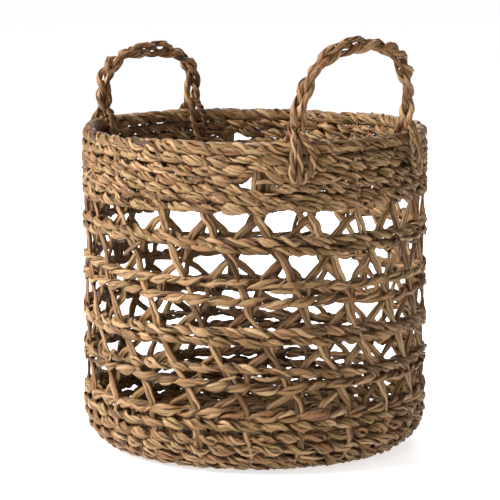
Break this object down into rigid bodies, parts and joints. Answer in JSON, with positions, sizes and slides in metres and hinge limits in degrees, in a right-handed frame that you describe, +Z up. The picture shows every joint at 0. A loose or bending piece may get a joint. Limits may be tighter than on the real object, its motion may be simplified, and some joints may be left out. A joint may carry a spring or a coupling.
{
  "type": "storage basket",
  "caption": "Round openwork storage basket twined from seagrass cord, with crossed stakes in open rows between woven bands, a rolled border and two rope handles.",
  "frame": {"origin": "centre of the base's underside", "axes": "+Z up along the basket's axis; +X towards the higher handle, whose middle is turned 4 degrees from +X towards -Y"},
  "size_m": [0.3295, 0.33, 0.3991],
  "materials": {
    "weave": "dry matt seagrass, straw to olive brown",
    "stakes": "dry matt twisted seagrass cord",
    "rope": "dry matt braided seagrass rope"
  },
  "bodies": {
    "basket": {"base_centre_knot": "weave", "base_underside_weave": "weave", "base_floor_weave": "weave", "corner_weave": "weave", "lower_band_weave": "weave", "ring_weave_1": "weave", "ring_weave_2": "weave", "ring_weave_3": "weave", "ring_weave_4": "weave", "upper_band_weave": "weave", "rim_border": "weave", "stake_right_lean_01": "stakes", "stake_right_lean_02": "stakes", "stake_right_lean_03": "stakes", "stake_right_lean_04": "stakes", "stake_right_lean_05": "stakes", "stake_right_lean_06": "stakes", "stake_right_lean_07": "stakes", "stake_right_lean_08": "stakes", "stake_right_lean_09": "stakes", "stake_right_lean_10": "stakes", "stake_right_lean_11": "stakes", "stake_right_lean_12": "stakes", "stake_right_lean_13": "stakes", "stake_right_lean_14": "stakes", "stake_right_lean_15": "stakes", "stake_right_lean_16": "stakes", "stake_right_lean_17": "stakes", "stake_right_lean_18": "stakes", "stake_right_lean_19": "stakes", "stake_right_lean_20": "stakes", "stake_right_lean_21": "stakes", "stake_left_lean_01": "stakes", "stake_left_lean_02": "stakes", "stake_left_lean_03": "stakes", "stake_left_lean_04": "stakes", "stake_left_lean_05": "stakes", "stake_left_lean_06": "stakes", "stake_left_lean_07": "stakes", "stake_left_lean_08": "stakes", "stake_left_lean_09": "stakes", "stake_left_lean_10": "stakes", "stake_left_lean_11": "stakes", "stake_left_lean_12": "stakes", "stake_left_lean_13": "stakes", "stake_left_lean_14": "stakes", "stake_left_lean_15": "stakes", "stake_left_lean_16": "stakes", "stake_left_lean_17": "stakes", "stake_left_lean_18": "stakes", "stake_left_lean_19": "stakes", "stake_left_lean_20": "stakes", "stake_left_lean_21": "stakes", "lashing_right_near": "rope", "lashing_right_far": "rope", "lashing_left_near": "rope", "lashing_left_far": "rope"},
    "handle_right": {"handle_right": "rope"},
    "handle_left": {"handle_left": "rope"}
  },
  "joints": [
    {"name": "handle_right_tilt", "type": "hinge", "parent": "basket", "child": "handle_right", "pos_m": [0.14289, -0.00999, 0.3188], "axis": [0.0698, 0.9976, 0], "range_deg": [-70, 60], "stiffness_Nm_per_rad": 0.4},
    {"name": "handle_left_tilt", "type": "hinge", "parent": "basket", "child": "handle_left", "pos_m": [-0.14505, -0.01014, 0.3188], "axis": [0.0698, -0.9976, 0], "range_deg": [-60, 60], "stiffness_Nm_per_rad": 0.4}
  ]
}
